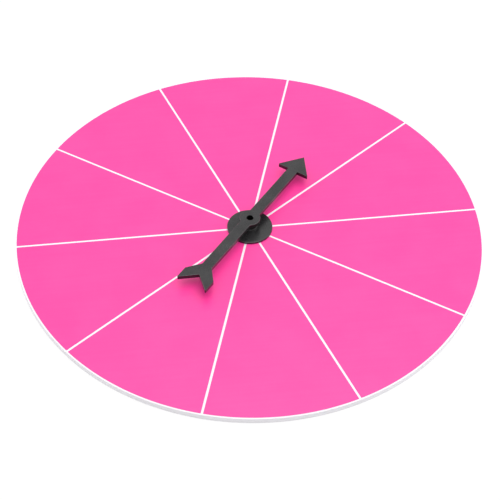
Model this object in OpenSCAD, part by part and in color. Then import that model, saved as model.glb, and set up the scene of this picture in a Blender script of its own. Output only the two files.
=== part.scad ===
// Lay-flat spinner board: a round white board with coloured film sectors on its face,
// and a moulded arrow that spins on a base fixed through the board's centre.
// The origin is the middle of the board's underside, +Z is up, and one white line lies along +X.

/* [Board] */
// Diameter of the board
board_d = 305; // [200:1:600]
// Thickness of the board
board_t = 4; // [3.5:0.5:12]
// Chamfer on the board's upper and lower edges
board_edge = 0.3; // [0.1:0.1:1]

/* [Sectors] */
// Number of film sectors on the face
sector_count = 10; // [4:1:20]
// Width of the bare white line between two sectors
line_w = 1.5; // [0.6:0.1:2.4]
// Bare white margin between the sectors and the rim
rim_margin = 1; // [0.5:0.1:20]
// Thickness of the film
film_t = 0.2; // [0.1:0.05:0.5]

/* [Arrow] */
// Overall length of the arrow, with the pivot at its middle
arrow_l = 136.6; // [90:0.2:190]
// Thickness of the arrow's blade
arrow_t = 3; // [1.5:0.1:5]
// Height of the blade's underside above the film
arrow_lift = 6.6; // [6:0.1:15]
// Direction that the arrow points in at rest, from the line on +X
rest_angle = 50; // [0:0.1:359.9]
// Width of the shaft
shaft_w = 7.2; // [5:0.1:10]
// Length of the head
head_l = 14.9; // [8:0.1:25]
// Width of the head across its barbs
head_w = 23; // [14:0.2:36]
// Width of the tail across its feathers
tail_w = 21.4; // [14:0.2:36]
// Length of each feather's outer edge
feather_l = 9.3; // [4:0.1:16]
// Length over which the feathers flare out from the shaft
flare_l = 8.7; // [3:0.1:14]
// Depth of the notch between the feathers
notch_l = 9.3; // [4:0.1:12]
// Radius of the arrow's outer corners
corner_r = 0.4; // [0.1:0.1:1]
// Diameter of the round hub
hub_d = 13.5; // [12:0.1:24]
// Fillet between the hub and the shaft
hub_fillet = 1.5; // [0.5:0.1:4]

/* [Spindle] */
// Diameter of the collar under the hub
collar_d = 10; // [8:0.1:11.8]
// Diameter of the spindle that turns in the base
spindle_d = 6; // [5.4:0.1:7]
// Diameter of the hole down through the hub and the spindle
core_d = 4.5; // [3:0.1:4.6]
// Chamfer round the mouth of that hole
core_chamfer = 0.2; // [0.1:0.1:0.8]
// Overhang of the snap hook round the spindle's foot
hook_w = 0.5; // [0.3:0.05:0.7]
// Length of the hook's taper
hook_l = 1.3; // [0.8:0.1:1.8]
// Width of the slot that lets the hook spring
slot_w = 1; // [0.6:0.1:1.6]
// Length of the slot
slot_l = 3; // [2:0.1:4]
// Running clearance round the spindle, on each side
running_gap = 0.05; // [0.02:0.01:0.1]
// End play of the arrow, above and below the base
end_play = 0.1; // [0.05:0.05:0.3]

/* [Base] */
// Diameter of the flange on the film
flange_d = 29.6; // [22:0.2:60]
// Thickness of the flange
flange_t = 1.6; // [0.8:0.1:2]
// Round on the flange's upper edge
flange_round = 0.4; // [0.1:0.1:0.6]
// Diameter of the boss
boss_d = 10; // [9.6:0.1:20]
// Height of the boss above the film
boss_h = 2.8; // [2.6:0.1:3.6]
// Fillet at the foot of the boss
boss_fillet = 0.5; // [0.2:0.1:0.8]
// Length of the bearing bore in the boss
bearing_l = 2.4; // [2:0.1:3]
// Diameter of the stem that passes through the board
stem_d = 12; // [11:0.1:14]
// Wall of the stem
stem_wall = 1.5; // [1:0.1:1.6]
// Clearance round the stem in the board, on each side
stem_gap = 0.2; // [0.05:0.05:0.5]

/* [Washer] */
// Outer diameter of the thrust washer
washer_d = 9; // [7.6:0.1:9.8]
// Thickness of the thrust washer
washer_t = 0.5; // [0.3:0.1:1]
// Clearance round the spindle in the washer, on each side
washer_gap = 0.15; // [0.05:0.05:0.25]

/* [Back cap] */
// Diameter of the cap
cap_d = 22; // [17:0.5:40]
// Thickness of the cap
cap_t = 1.2; // [0.8:0.1:1.4]
// Depth of the cap below the board's underside
cap_sink = 0.4; // [0.2:0.1:0.8]
// Clearance round the cap in its recess, on each side
cap_gap = 0.5; // [0.1:0.1:1]
// Press of the cap's plug in the stem, on each side
plug_press = 0.02; // [0.01:0.01:0.05]
// Chamfer on the cap's edge and on its plug
cap_chamfer = 0.3; // [0.1:0.1:0.5]
// Clearance between the spindle's foot and the plug, and between the stem's end and the cap
foot_gap = 0.3; // [0.2:0.1:0.5]

/* [Hidden] */
$fn = 120;

// Heights, from the board's underside up
cap_top = cap_sink + cap_t;
film_z = board_t;
face_z = film_z + film_t;
boss_top = face_z + boss_h;
bearing_z = boss_top - bearing_l;
washer_top = boss_top + washer_t;
blade_z = face_z + arrow_lift;
blade_top = blade_z + arrow_t;
collar_z = washer_top + end_play;
hook_top = bearing_z - end_play;
spindle_foot = hook_top - hook_l;
stem_end = cap_top + foot_gap;
plug_top = spindle_foot - foot_gap;

// Radii and angles
hole_r = stem_d / 2 + stem_gap;
recess_r = cap_d / 2 + cap_gap;
bearing_r = spindle_d / 2 + running_gap;
stem_bore_r = stem_d / 2 - stem_wall;
plug_r = stem_bore_r + plug_press;
sector_angle = 360 / sector_count;
arrow_reach = arrow_l / 2;
// Lap of an arc over the line or round that it runs into, so that the two cross cleanly
arc_lap = 0.003;

board_white = [0.94, 0.94, 0.95];
film_pink = [1, 0.37, 0.7];
moulded_black = [0.16, 0.16, 0.17];
washer_black = [0.1, 0.1, 0.1];

function panel_name(i) = str("sector_panel_", i < 10 ? "0" : "", i);
panel_names = [for (i = [1 : sector_count]) panel_name(i)];

// White round sheet, with a hole for the stem and a recess behind for the cap
module board() {
    rim_r = board_d / 2;
    color(board_white)
        rotate_extrude()
            polygon([
                [hole_r, cap_top],
                [recess_r, cap_top],
                [recess_r, 0],
                [rim_r - board_edge, 0],
                [rim_r, board_edge],
                [rim_r, board_t - board_edge],
                [rim_r - board_edge, board_t],
                [hole_r, board_t]
            ]);
}

// Wedge between two neighbouring lines, about +X, with its sides half a line's width inside them
module sector_wedge() {
    half = sector_angle / 2;
    apex = [line_w / 2 / sin(half), 0];
    side = board_d * [cos(half), sin(half)];
    polygon([apex, apex + [side.x, -side.y], apex + side]);
}

// One film sector, from the centre hole out to the bare margin
module sector_panel(i) {
    color(film_pink)
        translate([0, 0, film_z])
            rotate((i - 0.5) * sector_angle)
                linear_extrude(film_t)
                    intersection() {
                        sector_wedge();
                        difference() {
                            circle(board_d / 2 - rim_margin);
                            circle(hole_r);
                        }
                    }
}

// Half section of the base: flange, boss and hollow stem
module base_section() {
    flange_top = face_z + flange_t;
    flange_r = flange_d / 2;
    boss_r = boss_d / 2;
    difference() {
        union() {
            translate([bearing_r, face_z])
                square([flange_r - flange_round - bearing_r, flange_t]);
            translate([bearing_r, face_z])
                square([flange_r - bearing_r, flange_t - flange_round]);
            translate([flange_r - flange_round, flange_top - flange_round])
                circle(flange_round);
            translate([bearing_r, face_z])
                square([boss_r - bearing_r, boss_h]);
            translate([bearing_r, flange_top])
                square([boss_r + boss_fillet - bearing_r, boss_fillet]);
            translate([bearing_r, stem_end])
                square([stem_d / 2 - bearing_r, flange_top - stem_end]);
        }
        translate([boss_r + boss_fillet, flange_top + boss_fillet])
            circle(boss_fillet);
        square([stem_bore_r, bearing_z]);
    }
}

// Black base that clamps the board from the front and carries the arrow's spindle
module spinner_base() {
    color(moulded_black)
        rotate_extrude()
            base_section();
}

// Black cap behind the board, with a plug pressed into the base's stem
module back_cap() {
    cap_r = cap_d / 2;
    color(moulded_black)
        rotate_extrude()
            polygon([
                [0, cap_sink],
                [cap_r - cap_chamfer, cap_sink],
                [cap_r, cap_sink + cap_chamfer],
                [cap_r, cap_top],
                [plug_r, cap_top],
                [plug_r, plug_top - cap_chamfer],
                [plug_r - cap_chamfer, plug_top],
                [0, plug_top]
            ]);
}

// Thin ring on the boss that the arrow's collar runs on
module thrust_washer() {
    color(washer_black)
        translate([0, 0, boss_top])
            difference() {
                cylinder(h = washer_t, d = washer_d);
                translate([0, 0, -washer_t])
                    cylinder(h = 3 * washer_t, r = spindle_d / 2 + washer_gap);
            }
}

// Half angle of the corner at p, between its neighbours a and b
function corner_half(p, a, b) = acos((a - p) * (b - p) / norm(a - p) / norm(b - p)) / 2;

// Point at a distance from p towards q
function towards(p, q, distance) = p + (q - p) * distance / norm(q - p);

// Outer corner at p, rounded to a radius: where the round meets the two sides, and its centre
function corner_tangents(p, a, b, r) =
    let (reach = r / tan(corner_half(p, a, b)))
    [towards(p, a, reach), towards(p, b, reach)];
function corner_centre(p, a, b, r) =
    let (tangents = corner_tangents(p, a, b, r))
    towards(p, (tangents[0] + tangents[1]) / 2, (r - arc_lap) / sin(corner_half(p, a, b)));

// Outline of the arrow along +X, with each outer corner rounded by a true arc
module arrow_outline() {
    head_back = arrow_reach - head_l;
    feather_front = feather_l - arrow_reach;
    tip = [arrow_reach, 0];
    barb = [head_back, head_w / 2];
    head_root = [head_back, shaft_w / 2];
    tail_root = [feather_front + flare_l, shaft_w / 2];
    feather_corner = [feather_front, tail_w / 2];
    feather_tip = [-arrow_reach, tail_w / 2];
    notch = [notch_l - arrow_reach, 0];
    outer = [
        [barb, tip, head_root],
        [feather_corner, tail_root, feather_tip],
        [feather_tip, feather_corner, notch]
    ];
    mirrored_barb = [barb.x, -barb.y];
    tip_tangents = corner_tangents(tip, mirrored_barb, barb, corner_r);
    rounds = [for (c = outer) corner_tangents(c[0], c[1], c[2], corner_r)];
    upper = [
        tip_tangents[1],
        rounds[0][0], rounds[0][1],
        head_root,
        tail_root,
        rounds[1][0], rounds[1][1],
        rounds[2][0], rounds[2][1]
    ];
    lower = [for (i = [len(upper) - 1 : -1 : 0]) [upper[i].x, -upper[i].y]];
    polygon(concat(upper, [notch], lower));
    translate(corner_centre(tip, mirrored_barb, barb, corner_r))
        circle(corner_r);
    for (c = outer, side = [-1, 1])
        let (centre = corner_centre(c[0], c[1], c[2], corner_r))
            translate([centre.x, side * centre.y])
                circle(corner_r);
}

// Round hub with a fillet where each side of the shaft runs into it
module hub_outline() {
    hub_r = hub_d / 2;
    fillet_y = shaft_w / 2 + hub_fillet - arc_lap;
    fillet_x = sqrt(pow(hub_r + hub_fillet - arc_lap, 2) - pow(fillet_y, 2));
    circle(hub_r);
    for (x_side = [0, 1], y_side = [0, 1])
        mirror([x_side, 0])
            mirror([0, y_side])
                difference() {
                    polygon([[0, 0], [fillet_x, 0], [fillet_x, fillet_y]]);
                    translate([fillet_x, fillet_y])
                        circle(hub_fillet);
                }
}

// Solid spindle under the hub: collar, bearing and tapered snap hook
module spindle() {
    spindle_r = spindle_d / 2;
    foot_r = (spindle_r + core_d / 2) / 2;
    collar_top = blade_z + arrow_t / 2;
    rotate_extrude()
        polygon([
            [0, spindle_foot],
            [foot_r, spindle_foot],
            [spindle_r + hook_w, hook_top],
            [spindle_r, hook_top],
            [spindle_r, collar_z],
            [collar_d / 2, collar_z],
            [collar_d / 2, collar_top],
            [0, collar_top]
        ]);
}

// Hole down through the hub and the spindle, with a chamfered mouth, and the slot across its foot
module spindle_cuts() {
    over = 1;
    core_r = core_d / 2;
    slot_reach = spindle_d / 2 + hook_w + over;
    translate([0, 0, spindle_foot - over])
        cylinder(h = blade_top - spindle_foot + 2 * over, r = core_r);
    translate([0, 0, blade_top - core_chamfer])
        cylinder(h = core_chamfer + over, r1 = core_r, r2 = core_r + core_chamfer + over);
    translate([-slot_reach, -slot_w / 2, spindle_foot - over])
        cube([2 * slot_reach, slot_w, slot_l + over]);
}

// Black moulded arrow with its hub, collar and split spindle in one piece
module arrow() {
    color(moulded_black)
        rotate(rest_angle)
            difference() {
                union() {
                    translate([0, 0, blade_z])
                        linear_extrude(arrow_t)
                            union() {
                                arrow_outline();
                                hub_outline();
                            }
                    spindle();
                }
                spindle_cuts();
            }
}

board();
for (i = [1 : sector_count])
    sector_panel(i);
spinner_base();
back_cap();
thrust_washer();
arrow();
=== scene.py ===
import math

import bmesh
import bpy
from mathutils import Matrix, Vector


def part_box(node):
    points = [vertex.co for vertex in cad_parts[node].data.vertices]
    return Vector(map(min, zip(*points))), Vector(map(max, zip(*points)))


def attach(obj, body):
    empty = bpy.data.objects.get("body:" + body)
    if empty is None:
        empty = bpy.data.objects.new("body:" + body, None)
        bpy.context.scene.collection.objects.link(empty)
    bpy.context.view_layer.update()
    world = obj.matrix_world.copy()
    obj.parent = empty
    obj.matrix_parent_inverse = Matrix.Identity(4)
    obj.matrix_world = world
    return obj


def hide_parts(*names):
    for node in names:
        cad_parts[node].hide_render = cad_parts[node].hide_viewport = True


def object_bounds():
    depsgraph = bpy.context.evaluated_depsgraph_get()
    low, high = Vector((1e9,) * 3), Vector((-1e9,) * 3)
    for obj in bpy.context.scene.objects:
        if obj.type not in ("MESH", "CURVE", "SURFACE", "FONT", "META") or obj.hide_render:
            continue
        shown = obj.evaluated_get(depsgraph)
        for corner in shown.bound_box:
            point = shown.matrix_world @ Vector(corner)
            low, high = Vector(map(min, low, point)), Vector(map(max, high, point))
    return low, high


# Looks of a lay-flat spinner board, built round its CAD frame.
# Sizes are metres; mm turns millimetres into them.
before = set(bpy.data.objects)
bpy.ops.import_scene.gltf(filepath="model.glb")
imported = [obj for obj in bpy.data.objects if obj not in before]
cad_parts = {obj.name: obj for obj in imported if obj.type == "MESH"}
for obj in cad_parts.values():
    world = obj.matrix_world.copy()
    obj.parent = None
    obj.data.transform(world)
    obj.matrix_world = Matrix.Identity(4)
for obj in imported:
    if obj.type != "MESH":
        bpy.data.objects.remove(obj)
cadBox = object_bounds()
mm = 0.001


# Node trees

class Wire:
    # One socket of a node tree; sums written with it add Math nodes to the tree
    def __init__(self, tree, socket=None):
        self.tree = tree
        self.socket = socket

    def add(self, kind, settings=None, inputs=None, output=0):
        node = self.tree.nodes.new(kind)
        for name, value in (settings or {}).items():
            setattr(node, name, value)
        for key, value in (inputs or {}).items():
            if isinstance(value, Wire):
                self.tree.links.new(value.socket, node.inputs[key])
            else:
                node.inputs[key].default_value = value
        return Wire(self.tree, node.outputs[output] if len(node.outputs) else None)

    def maths(self, operation, first, second=0.0):
        return self.add("ShaderNodeMath", {"operation": operation}, {0: first, 1: second})

    def __add__(self, other):
        return self.maths("ADD", self, other)

    def __radd__(self, other):
        return self.maths("ADD", other, self)

    def __sub__(self, other):
        return self.maths("SUBTRACT", self, other)

    def __rsub__(self, other):
        return self.maths("SUBTRACT", other, self)

    def __mul__(self, other):
        return self.maths("MULTIPLY", self, other)

    def __rmul__(self, other):
        return self.maths("MULTIPLY", other, self)

    def __truediv__(self, other):
        return self.maths("DIVIDE", self, other)

    def __rtruediv__(self, other):
        return self.maths("DIVIDE", other, self)

    def __pow__(self, other):
        return self.maths("POWER", self, other)

    def __rpow__(self, other):
        return self.maths("POWER", other, self)


def noise(position, scale, detail, roughness=0.5):
    inputs = {"Vector": position, "Scale": scale, "Detail": detail, "Roughness": roughness}
    return position.add("ShaderNodeTexNoise", {}, inputs, "Fac")


def stretched(position, scale, turn):
    inputs = {"Vector": position, "Rotation": (0, 0, turn), "Scale": scale}
    return position.add("ShaderNodeMapping", {}, inputs)


def rampUp(value, low, high):  # 0 below low, 1 above high, smooth between
    inputs = {"Value": value, "From Min": low, "From Max": high}
    return value.add("ShaderNodeMapRange", {"interpolation_type": "SMOOTHSTEP"}, inputs)


def mixedColour(share, colour, otherColour):
    return share.add("ShaderNodeMix", {"data_type": "RGBA"}, {0: share, 6: colour, 7: otherColour}, 2)


def relief(height, depth, strength, over=None):
    inputs = {"Height": height, "Distance": depth, "Strength": strength}
    if over:
        inputs["Normal"] = over
    return height.add("ShaderNodeBump", {}, inputs)


def fromAxis(position):  # distance from the pivot's axis, angle round it, height
    split = position.add("ShaderNodeSeparateXYZ", {}, {"Vector": position})
    x, y, z = [Wire(position.tree, socket) for socket in split.socket.node.outputs]
    return (x * x + y * y) ** 0.5, position.maths("ARCTAN2", y, x), z


def newMaterial(name):
    material = bpy.data.materials.new(name)
    material.use_nodes = True
    material.node_tree.nodes.clear()
    return material, Wire(material.node_tree).add("ShaderNodeTexCoord", output="Object")


def surface(position, **inputs):
    named = {name.replace("_", " "): value for name, value in inputs.items()}
    shader = position.add("ShaderNodeBsdfPrincipled", {}, named)
    position.add("ShaderNodeOutputMaterial", {}, {"Surface": shader})


# Finishes: noise sizes are per metre, and tones are the levels where one colour gives way to the next

filmFinish = {
    "pink": (0.948, 0.043, 0.309, 1),
    "deepPink": (0.935, 0.033, 0.294, 1),
    "tones": (0.36, 0.64),
    "patches": 38,              # the soft mottling of the print
    "specks": 836,
    "streaks": (14, 420, 1),
    "streakTurn": math.radians(8.5),
    "peel": 900,                # the orange peel of the laminate
    "peelDepth": 0.012 * mm,
    "peelStrength": 0.5,
    "roughness": 0.30,
    "patchRoughness": 0.10,
    "speckRoughness": 0.06,
    "refraction": 1.6,
}


def pinkFilm():
    finish = filmFinish
    material, position = newMaterial("pinkFilm")
    patches = noise(position, finish["patches"], 3, 0.55)
    streaks = noise(stretched(position, finish["streaks"], finish["streakTurn"]), 1, 2)
    specks = noise(position, finish["specks"], 2, 0.6)
    share = rampUp(patches * 0.5 + streaks * 0.3 + specks * 0.2, *finish["tones"])
    peel = noise(position, finish["peel"], 2)
    uneven = patches * finish["patchRoughness"] + specks * finish["speckRoughness"]
    surface(
        position,
        Base_Color=mixedColour(share, finish["deepPink"], finish["pink"]),
        Roughness=finish["roughness"] + uneven,
        Normal=relief(peel, finish["peelDepth"], finish["peelStrength"]),
        IOR=finish["refraction"],
    )
    return material


sheetFinish = {
    "white": (0.860, 0.815, 0.868, 1),   # a cool white, faintly lavender
    "shade": (0.838, 0.793, 0.846, 1),
    "tones": (0.3, 0.7),
    "mottle": 55,
    "satin": 1300,
    "satinDepth": 0.006 * mm,
    "satinStrength": 0.4,
    "edge": (0.685, 0.670, 0.698, 1),    # the sawn edge is duller, and both edge colours are darkened further as painted shade on the board's wall
    "edgePaleShaded": (0.755, 0.739, 0.768, 1),
    "edgeTones": (0.34, 0.6),
    "rimDepth": 0.12 * mm,               # how far in from the rim the sawn edge reaches
    "rimFade": 0.7,                      # share of that depth over which it sets in
    "cells": 1700,                       # the foam's cells on the sawn edge
    "cellDepth": 0.06 * mm,
    "cellStrength": 0.8,
    "sawMarks": (6, 5200),               # per radian along the edge and per metre up it
    "roughness": 0.42,
    "mottleRoughness": 0.08,
    "edgeRoughness": 0.3,
    "refraction": 1.5,
}


def whiteSheet(rimRadius):
    finish = sheetFinish
    material, position = newMaterial("whiteSheet")
    radius, angle, height = fromAxis(position)
    sawnFrom = rimRadius - finish["rimDepth"]
    sawnShadedEdge = rampUp(radius, sawnFrom, sawnFrom + finish["rimFade"] * finish["rimDepth"])
    mottle = noise(position, finish["mottle"], 3, 0.6)
    cells = noise(position, finish["cells"], 2, 0.7)
    markPlace = {"X": angle * finish["sawMarks"][0], "Y": height * finish["sawMarks"][1]}
    sawMarks = noise(position.add("ShaderNodeCombineXYZ", {}, markPlace), 1, 3, 0.6)
    face = mixedColour(rampUp(mottle, *finish["tones"]), finish["shade"], finish["white"])
    edgeShare = rampUp(cells * 0.5 + sawMarks * 0.5, *finish["edgeTones"])
    edge = mixedColour(edgeShare, finish["edge"], finish["edgePaleShaded"])
    roughEdge = sawnShadedEdge * (cells * 0.6 + sawMarks * 0.4)
    satin = relief(noise(position, finish["satin"], 2), finish["satinDepth"], finish["satinStrength"])
    uneven = mottle * finish["mottleRoughness"] + sawnShadedEdge * finish["edgeRoughness"]
    surface(
        position,
        # The edge colours hold painted shade, so the board's wall looks darker than its top.
        Base_Color=mixedColour(sawnShadedEdge, face, edge),
        Roughness=finish["roughness"] + uneven,
        Normal=relief(roughEdge, finish["cellDepth"], finish["cellStrength"], satin),
        IOR=finish["refraction"],
    )
    return material


blackFinish = {
    "black": (0.013, 0.0125, 0.0135, 1),
    "bloom": (0.027, 0.0266, 0.0274, 1),    # on the grain's tips and where the plastic flowed last
    "tones": (0.37, 0.63),
    "flow": 70,
    "paintedWallShade": (0.004, 0.004, 0.0045, 1),  # painted shade: walls get this deeper black so they look shaded; the mould leaves them smooth
    "rubbed": (0.068, 0.0665, 0.069, 1),    # on edges that hands and boxes touch
    "rubTones": (0.30, 0.62),
    "rubs": 330,
    "grain": 2000,                          # the mould's spark grain
    "grainDepth": 0.035 * mm,
    "grainStrength": 0.4,
    "roughness": 0.12,
    "flowRoughness": 0.12,
    "grainRoughness": 0.12,
    "refraction": 1.51,
}


def mouldedBlack():
    finish = blackFinish
    material, position = newMaterial("mouldedBlack")
    edges = position.add("ShaderNodeAttribute", {"attribute_name": "edgeWear"}, {}, "Fac")
    walls = position.add("ShaderNodeAttribute", {"attribute_name": "wall"}, {}, "Fac")
    flow = noise(position, finish["flow"], 3, 0.55)
    grain = noise(position, finish["grain"], 3, 0.6)
    rubbed = edges * rampUp(noise(position, finish["rubs"], 3, 0.6), *finish["rubTones"])
    bloom = rampUp(flow * 0.5 + grain * 0.5, *finish["tones"])
    grained = mixedColour(bloom, finish["black"], finish["bloom"])
    # Walls take the deeper black: painted shade on the sides.
    body = mixedColour(walls, grained, finish["paintedWallShade"])
    uneven = flow * finish["flowRoughness"] + grain * finish["grainRoughness"]
    surface(
        position,
        Base_Color=mixedColour(rubbed, body, finish["rubbed"]),
        Roughness=finish["roughness"] + uneven,
        Normal=relief(grain * (1 - walls), finish["grainDepth"], finish["grainStrength"]),
        IOR=finish["refraction"],
    )
    return material


slipFinish = {
    "black": (0.010, 0.010, 0.0105, 1),
    "turned": (0.017, 0.017, 0.018, 1),
    "tones": (0.35, 0.65),
    "rings": 5200,              # the turning marks, along the radius
    "ringWander": 0.4 * mm,     # how far a mark drifts in each radian
    "ringDepth": 0.01 * mm,
    "ringStrength": 0.5,
    "roughness": 0.3,
    "ringRoughness": 0.12,
    "refraction": 1.48,
}


def slipBlack():
    finish = slipFinish
    material, position = newMaterial("slipBlack")
    radius, angle = fromAxis(position)[:2]
    ringPlace = {"X": radius, "Y": angle * finish["ringWander"]}
    rings = noise(position.add("ShaderNodeCombineXYZ", {}, ringPlace), finish["rings"], 2)
    surface(
        position,
        Base_Color=mixedColour(rampUp(rings, *finish["tones"]), finish["black"], finish["turned"]),
        Roughness=finish["roughness"] + rings * finish["ringRoughness"],
        Normal=relief(rings, finish["ringDepth"], finish["ringStrength"]),
        IOR=finish["refraction"],
    )
    return material


# Mesh tools

slack = 0.01 * mm  # points this near to a limit count as on it


def nodePoints(node):
    return [vertex.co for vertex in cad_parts[node].data.vertices]


def radiiAt(node, low=-1.0, high=1.0):  # distances from the axis of a node's points between two heights
    return [point.xy.length for point in nodePoints(node) if low - slack < point.z < high + slack]


def heightsAt(node, inner, outer=1.0):  # heights of a node's points between two distances from the axis
    return [point.z for point in nodePoints(node) if inner - slack < point.xy.length < outer + slack]


def reach(node):
    return max(radiiAt(node))


def bore(node):
    return min(radiiAt(node))


def newPiece(name, mesh):
    piece = bpy.data.objects.new(name, mesh)
    bpy.context.scene.collection.objects.link(piece)
    return piece


def baked(piece):  # the modifiers' result becomes the piece's plain mesh
    bpy.context.view_layer.update()
    graph = bpy.context.evaluated_depsgraph_get()
    mesh = bpy.data.meshes.new_from_object(
        piece.evaluated_get(graph), preserve_all_data_layers=True, depsgraph=graph
    )
    piece.modifiers.clear()
    piece.data = mesh
    mesh.name = piece.name
    return piece


shading = {
    "sharpAngle": math.radians(40),
    "wallSlope": 0.3,           # a face whose normal rises less than this is a wall
}


def smoothed(name, shape, material):
    bmesh.ops.recalc_face_normals(shape, faces=shape.faces)
    wall = shape.faces.layers.float.new("wall")
    for face in shape.faces:
        face.smooth = True
        # This wall mask later darkens the black plastic's walls as painted shade.
        face[wall] = float(abs(face.normal.z) < shading["wallSlope"])
    for edge in shape.edges:
        edge.smooth = edge.calc_face_angle(0) < shading["sharpAngle"]
    mesh = bpy.data.meshes.new(name)
    shape.to_mesh(mesh)
    shape.free()
    mesh.materials.append(material)
    piece = newPiece(name, mesh)
    even = piece.modifiers.new("evenShading", "WEIGHTED_NORMAL")
    even.keep_sharp = True
    return baked(piece)


lathing = {
    "arcSteps": 6,
    "wear": 0.25,               # round pieces lie flat and are rubbed less than the arrow's edges
}


def roundedSection(corners):
    # Corners are (radius, height, round); each rounded one becomes an arc,
    # and outer arcs count as edges that wear
    steps = lathing["arcSteps"]
    section = []
    for index, (radius, height, rounding) in enumerate(corners):
        point = Vector((radius, height))
        if not rounding:
            section.append((radius, height, 0.0))
            continue
        before = Vector(corners[index - 1][:2]) - point
        after = Vector(corners[(index + 1) % len(corners)][:2]) - point
        outer = before.x * after.y - before.y * after.x < 0
        half = before.angle(after) / 2
        middle = (before.normalized() + after.normalized()).normalized()
        centre = point + middle * rounding / math.sin(half)
        start = point + before.normalized() * rounding / math.tan(half) - centre
        sweep = (math.pi - 2 * half) * (1 if outer else -1)
        for step in range(steps + 1):
            arm = Matrix.Rotation(sweep * step / steps, 2) @ start
            worn = float(outer and 0 < step < steps)
            section.append((centre.x + arm.x, centre.y + arm.y, worn))
    return section


def lathed(name, corners, segments, material):
    # Corners run anticlockwise round the half section, with the radius to the right and the height up
    shape = bmesh.new()
    wear = shape.verts.layers.float.new("edgeWear")
    rings = []
    for radius, height, worn in roundedSection(corners):
        count = segments if radius > 0 else 1
        ring = []
        for step in range(count):
            angle = 2 * math.pi * step / segments
            vertex = shape.verts.new((radius * math.cos(angle), radius * math.sin(angle), height))
            vertex[wear] = worn * lathing["wear"]
            ring.append(vertex)
        rings.append(ring)
    for ring, following in zip(rings, rings[1:] + rings[:1]):
        if len(ring) == len(following) == 1:
            continue
        for step in range(segments):
            here = [ring[(step + turn) % len(ring)] for turn in (0, 1)]
            there = [following[(step + turn) % len(following)] for turn in (1, 0)]
            shape.faces.new(dict.fromkeys(here + there))
    return smoothed(name, shape, material)


# White board

boardShape = {
    "edgeRound": 0.2 * mm,
    "holeRound": 0.15 * mm,
    "segments": 480,
}


def makeBoard(material):
    low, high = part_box("board")
    rim = reach("board")
    hole = bore("board")
    edge = boardShape["edgeRound"]
    small = boardShape["holeRound"]
    recess = min(radiiAt("board", low.z, low.z))
    floor = min(heightsAt("board", hole, hole))
    section = [
        (recess, low.z, small),
        (rim, low.z, edge),
        (rim, high.z, edge),
        (hole, high.z, small),
        (hole, floor, small),
        (recess, floor, 0),
    ]
    return lathed("whiteBoard", section, boardShape["segments"], material)


# Pink film sectors

filmShape = {
    "arcPoints": 49,
    "radialPoints": 13,
    "weld": 0.001 * mm,
}


def sectorTree():
    tree = bpy.data.node_groups.new("filmSectors", "GeometryNodeTree")
    for name, kind in (
        ("Sectors", "Int"),
        ("Line Width", "Float"),
        ("Inner Radius", "Float"),
        ("Outer Radius", "Float"),
        ("Film Height", "Float"),
        ("Film Thickness", "Float"),
        ("Arc Points", "Int"),
        ("Radial Points", "Int"),
        ("Material", "Material"),
    ):
        tree.interface.new_socket(name, in_out="INPUT", socket_type="NodeSocket" + kind)
    tree.interface.new_socket("Geometry", in_out="OUTPUT", socket_type="NodeSocketGeometry")
    start = Wire(tree)
    groupInput = start.add("NodeGroupInput").socket.node
    size = {socket.name: Wire(tree, socket) for socket in groupInput.outputs if socket.name}

    # A flat grid, bent so that its sides keep half a line's width from the sector's borders
    counts = {"Vertices X": size["Radial Points"], "Vertices Y": size["Arc Points"]}
    grid = start.add("GeometryNodeMeshGrid", {}, {"Size X": 1, "Size Y": 1, **counts})
    position = start.add("GeometryNodeInputPosition")
    place = start.add("ShaderNodeSeparateXYZ", {}, {"Vector": position}).socket.node
    along = Wire(tree, place.outputs["X"]) + 0.5
    across = Wire(tree, place.outputs["Y"]) * 2
    radius = size["Inner Radius"] + along * (size["Outer Radius"] - size["Inner Radius"])
    half = math.pi / size["Sectors"]
    opening = half - start.maths("ARCSINE", size["Line Width"] / 2 / radius)
    angle = half + across * opening
    corner = {
        "X": radius * start.maths("COSINE", angle),
        "Y": radius * start.maths("SINE", angle),
        "Z": size["Film Height"],
    }
    bent = {"Geometry": grid, "Position": start.add("ShaderNodeCombineXYZ", {}, corner)}
    under = start.add("GeometryNodeSetPosition", {}, bent)

    # The film's top and edges come from extruding it, and a turned copy closes it below
    up = start.add("ShaderNodeCombineXYZ", {}, {"Z": 1})
    raising = {"Mesh": under, "Offset": up, "Offset Scale": size["Film Thickness"], "Individual": False}
    raised = start.add("GeometryNodeExtrudeMesh", {"mode": "FACES"}, raising)
    turned = start.add("GeometryNodeFlipFaces", {}, {"Mesh": under})
    both = start.add("GeometryNodeJoinGeometry", {}, {"Geometry": raised})
    tree.links.new(turned.socket, both.socket.node.inputs["Geometry"])
    welding = {"Geometry": both, "Distance": filmShape["weld"]}
    sector = start.add("GeometryNodeMergeByDistance", {}, welding)
    flat = start.add("GeometryNodeSetShadeSmooth", {}, {"Geometry": sector, "Shade Smooth": False})

    # One sector to each turn round the pivot
    points = start.add("GeometryNodePoints", {}, {"Count": size["Sectors"]})
    turn = start.add("ShaderNodeCombineXYZ", {}, {"Z": start.add("GeometryNodeInputIndex") * half * 2})
    rotation = start.add("FunctionNodeEulerToRotation", {}, {"Euler": turn})
    placing = {"Points": points, "Instance": flat, "Rotation": rotation}
    ring = start.add("GeometryNodeInstanceOnPoints", {}, placing)
    solid = start.add("GeometryNodeRealizeInstances", {}, {"Geometry": ring})
    colouring = {"Geometry": solid, "Material": size["Material"]}
    coloured = start.add("GeometryNodeSetMaterial", {}, colouring)
    start.add("NodeGroupOutput", {}, {"Geometry": coloured})
    return tree


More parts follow.
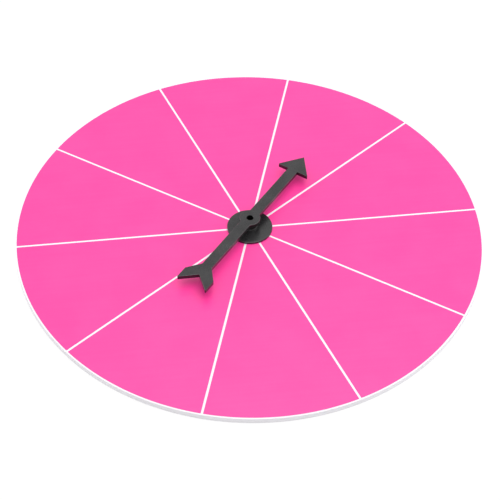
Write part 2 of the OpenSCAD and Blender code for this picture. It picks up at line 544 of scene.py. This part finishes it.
def makeFilm(nodes, material):
    low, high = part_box(nodes[0])
    values = {
        "Sectors": len(nodes),
        "Line Width": 2 * low.y,
        "Inner Radius": bore(nodes[0]),
        "Outer Radius": reach(nodes[0]),
        "Film Height": low.z,
        "Film Thickness": high.z - low.z,
        "Arc Points": filmShape["arcPoints"],
        "Radial Points": filmShape["radialPoints"],
        "Material": material,
    }
    piece = newPiece("filmSectors", bpy.data.meshes.new("filmSectors"))
    layout = piece.modifiers.new("sectors", "NODES")
    layout.node_group = sectorTree()
    for item in layout.node_group.interface.items_tree:
        if item.in_out == "INPUT":
            layout[item.identifier] = values[item.name]
    return baked(piece)


# Black base, with its boss and stem

baseShape = {
    "flangeRound": 0.4 * mm,
    "flangeZone": 0.8,          # share of the flange's radius that only the flange reaches past
    "bossFillet": 0.15 * mm,
    "bossRound": 0.45 * mm,     # the lip under the washer, which catches the light below the hub
    "smallRound": 0.12 * mm,
    "segments": 192,
}


def makeBase(faceHeight, material):
    low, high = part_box("spinner_base")
    flange = reach("spinner_base")
    bearing = bore("spinner_base")
    flangeTop = max(heightsAt("spinner_base", baseShape["flangeZone"] * flange))
    bearingFoot = min(heightsAt("spinner_base", bearing, bearing))
    boss = max(radiiAt("spinner_base", high.z))
    stem = max(radiiAt("spinner_base", low.z, low.z))
    stemBore = min(radiiAt("spinner_base", low.z, low.z))
    small = baseShape["smallRound"]
    section = [
        (bearing, high.z, small),
        (bearing, bearingFoot, small),
        (stemBore, bearingFoot, 0),
        (stemBore, low.z, small),
        (stem, low.z, small),
        (stem, faceHeight, 0),
        (flange, faceHeight, small),
        (flange, flangeTop, baseShape["flangeRound"]),
        (boss, flangeTop, baseShape["bossFillet"]),
        (boss, high.z, baseShape["bossRound"]),
    ]
    return lathed("spinnerBase", section, baseShape["segments"], material)


# Thrust washer

washerShape = {
    "edgeRound": 0.1 * mm,
    "segments": 128,
}


def makeWasher(material):
    low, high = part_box("thrust_washer")
    outer = reach("thrust_washer")
    inner = bore("thrust_washer")
    edge = washerShape["edgeRound"]
    section = [
        (inner, low.z, edge),
        (outer, low.z, edge),
        (outer, high.z, edge),
        (inner, high.z, edge),
    ]
    return lathed("slipWasher", section, washerShape["segments"], material)


# Back cap, with the dimple where its mould was filled

capShape = {
    "edgeRound": 0.3 * mm,
    "lipRound": 0.1 * mm,
    "gateRadius": 0.9 * mm,
    "gateDepth": 0.2 * mm,
    "gateRound": 0.2 / 3 * mm,
    "segments": 192,
}


def makeCap(material):
    low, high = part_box("back_cap")
    disc = reach("back_cap")
    discTop = max(heightsAt("back_cap", disc))
    plug = min(radius for radius in radiiAt("back_cap", discTop, discTop) if radius > 0)
    gate = capShape["gateRadius"]
    gateDepth = capShape["gateDepth"]
    section = [
        (0, low.z + gateDepth, 0),
        (gate, low.z + gateDepth, capShape["gateRound"]),
        (gate + gateDepth, low.z, capShape["gateRound"]),
        (disc, low.z, capShape["edgeRound"]),
        (disc, discTop, capShape["lipRound"]),
        (plug, discTop, 0),
        (plug, high.z, capShape["edgeRound"]),
        (0, high.z, 0),
    ]
    return lathed("backCap", section, capShape["segments"], material)


# Black arrow: the CAD shape with its sharp outline rounded over

arrowShape = {
    "edgeRound": 0.28 * mm,
    "edgeSteps": 4,
    "edgeBulge": 0.5,                   # half makes the round a true arc
    "cornerAngle": math.radians(60),    # edges sharper than this are rounded
    "spindleClear": 5.6 * mm,           # edges nearer to the pivot keep their CAD shape
    "flatAngle": math.radians(0.3),     # CAD triangles that meet flatter than this become one face
    "samePlace": 0.001 * mm,
}


def onLevel(edge, height):
    return all(abs(vertex.co.z - height) < arrowShape["samePlace"] for vertex in edge.verts)


def makeArrow(material):
    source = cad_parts["arrow"].data
    shape = bmesh.new()
    wear = shape.verts.layers.float.new("edgeWear")
    corners = [shape.verts.new(vertex.co) for vertex in source.vertices]
    for polygon in source.polygons:
        shape.faces.new([corners[index] for index in polygon.vertices])
    bmesh.ops.remove_doubles(shape, verts=shape.verts, dist=arrowShape["samePlace"])
    bmesh.ops.dissolve_limit(
        shape, angle_limit=arrowShape["flatAngle"], verts=shape.verts, edges=shape.edges
    )
    blade = heightsAt("arrow", reach("arrow") / 2)
    levels = (min(blade), max(blade))
    outline = []
    for edge in shape.edges:
        far = all(vertex.co.xy.length > arrowShape["spindleClear"] for vertex in edge.verts)
        level = any(onLevel(edge, height) for height in levels)
        if far and level and edge.calc_face_angle(0) > arrowShape["cornerAngle"]:
            outline.append(edge)
    made = bmesh.ops.bevel(
        shape,
        geom=outline,
        offset=arrowShape["edgeRound"],
        offset_type="OFFSET",
        segments=arrowShape["edgeSteps"],
        profile=arrowShape["edgeBulge"],
        affect="EDGES",
        clamp_overlap=False,
        loop_slide=False,
    )
    rounds = set(made["faces"])
    for vertex in made["verts"]:
        if all(face in rounds for face in vertex.link_faces):
            vertex[wear] = 1.0
    print("arrow:", len(outline), "outline edges rounded")
    return smoothed("spinArrow", shape, material)


# Studio: pale floor, soft light and the camera

studio = {
    "floorSize": 6.0,
    "floorDrop": 0.05 * mm,     # keeps the floor clear of the board's underside
    "floorWhite": (0.94, 0.94, 0.94, 1),
    "floorPale": (0.95, 0.95, 0.95, 1),
    "floorMottle": 30,
    "floorGlow": 0.85,          # share of plain white seen on the floor; the rest takes the shadow
    # Light a little brighter than white needs keeps the film's shadows red
    "worldLight": 0.725,
    "key": {"place": (0.19, -0.07, 0.98), "size": 1.0, "power": 7.2, "mirrored": True},
    # These whiten the board's edge on the left and on the right.
    # The low one would glare on the film, so no surface mirrors it
    "side": {"place": (-1.1, 0.45, 0.35), "size": 0.8, "power": 3.75, "mirrored": True},
    "low": {"place": (1.1, 0.1, 0.16), "size": 0.3, "power": 2.5, "mirrored": False},
}


def seenPlainly(start):  # 1 for rays that show the background itself
    path = start.add("ShaderNodeLightPath").socket.node
    names = ("Is Camera Ray", "Is Glossy Ray", "Is Transmission Ray")
    rays = [Wire(start.tree, path.outputs[name]) for name in names]
    return start.maths("MINIMUM", rays[0] + rays[1] + rays[2], 1.0)


def makeFloor():
    material, position = newMaterial("paleFloor")
    mottle = noise(position, studio["floorMottle"], 2)
    tone = mixedColour(mottle, studio["floorWhite"], studio["floorPale"])
    matt = position.add("ShaderNodeBsdfDiffuse", {}, {"Color": tone})
    white = position.add("ShaderNodeEmission", {}, {"Color": (1, 1, 1, 1), "Strength": 1.0})
    share = seenPlainly(position) * studio["floorGlow"]
    mixed = position.add("ShaderNodeMixShader", {}, {0: share, 1: matt, 2: white})
    position.add("ShaderNodeOutputMaterial", {}, {"Surface": mixed})
    side = studio["floorSize"] / 2
    level = cadBox[0].z - studio["floorDrop"]
    corners = [(-side, -side, level), (side, -side, level), (side, side, level), (-side, side, level)]
    mesh = bpy.data.meshes.new("paleFloor")
    mesh.from_pydata(corners, [], [(0, 1, 2, 3)])
    mesh.materials.append(material)
    newPiece("paleFloor", mesh)


def makeWorld():
    world = bpy.data.worlds.new("paleRoom")
    world.use_nodes = True
    world.node_tree.nodes.clear()
    start = Wire(world.node_tree)
    level = studio["worldLight"]
    strength = level + seenPlainly(start) * (1 - level)
    room = start.add("ShaderNodeBackground", {}, {"Color": (1, 1, 1, 1), "Strength": strength})
    start.add("ShaderNodeOutputWorld", {}, {"Surface": room})
    bpy.context.scene.world = world


def makeLamp(name, target):
    settings = studio[name]
    light = bpy.data.lights.new(name + "Box", "AREA")
    light.shape = "SQUARE"
    light.size = settings["size"]
    light.energy = settings["power"]
    lamp = bpy.data.objects.new(name + "Box", light)
    bpy.context.scene.collection.objects.link(lamp)
    lamp.visible_glossy = settings["mirrored"]
    lamp.location = settings["place"]
    lamp.rotation_euler = (target - lamp.location).to_track_quat("-Z", "Y").to_euler()


view = {
    "place": (-89.67 * mm, -599.93 * mm, 645.4 * mm),
    "yaw": math.radians(-8.553),
    "pitch": math.radians(-47.539),
    "roll": math.radians(1.5375),
    "lens": 96.9,               # mm, on a sensor 36 mm wide
    "sensor": 36.0,
    "nearest": 0.01,
}


def makeCamera():
    data = bpy.data.cameras.new("photoView")
    data.lens = view["lens"]
    data.sensor_width = view["sensor"]
    data.clip_start = view["nearest"]
    camera = bpy.data.objects.new("photoView", data)
    bpy.context.scene.collection.objects.link(camera)
    yaw = Matrix.Rotation(view["yaw"], 4, "Z")
    pitch = Matrix.Rotation(math.pi / 2 + view["pitch"], 4, "X")
    roll = Matrix.Rotation(view["roll"], 4, "Z")
    camera.matrix_world = Matrix.Translation(view["place"]) @ yaw @ pitch @ roll
    bpy.context.scene.camera = camera


bpy.context.scene.view_settings.view_transform = "Standard"
makeCamera()
makeFloor()
makeWorld()
for lampName in ("key", "side", "low"):
    makeLamp(lampName, Vector((0, 0, cadBox[1].z)))
print("studio: floor, room, soft boxes and camera")


def standIn(piece, body, slot, *nodes):
    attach(piece, body)
    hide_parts(*nodes)
    print(piece.name, "stands for", len(nodes), "node(s):", len(piece.data.polygons), "faces")


panels = sorted(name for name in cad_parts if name.startswith("sector_panel"))
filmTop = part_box(panels[0])[1].z
plastic = mouldedBlack()
standIn(makeBoard(whiteSheet(reach("board"))), "board_body", "board_white", "board")
standIn(makeFilm(panels, pinkFilm()), "board_body", "film_pink", *panels)
standIn(makeBase(filmTop, plastic), "board_body", "moulded_black", "spinner_base")
standIn(makeWasher(slipBlack()), "board_body", "washer_black", "thrust_washer")
standIn(makeCap(plastic), "board_body", "moulded_black", "back_cap")
standIn(makeArrow(plastic), "arrow_body", "moulded_black", "arrow")
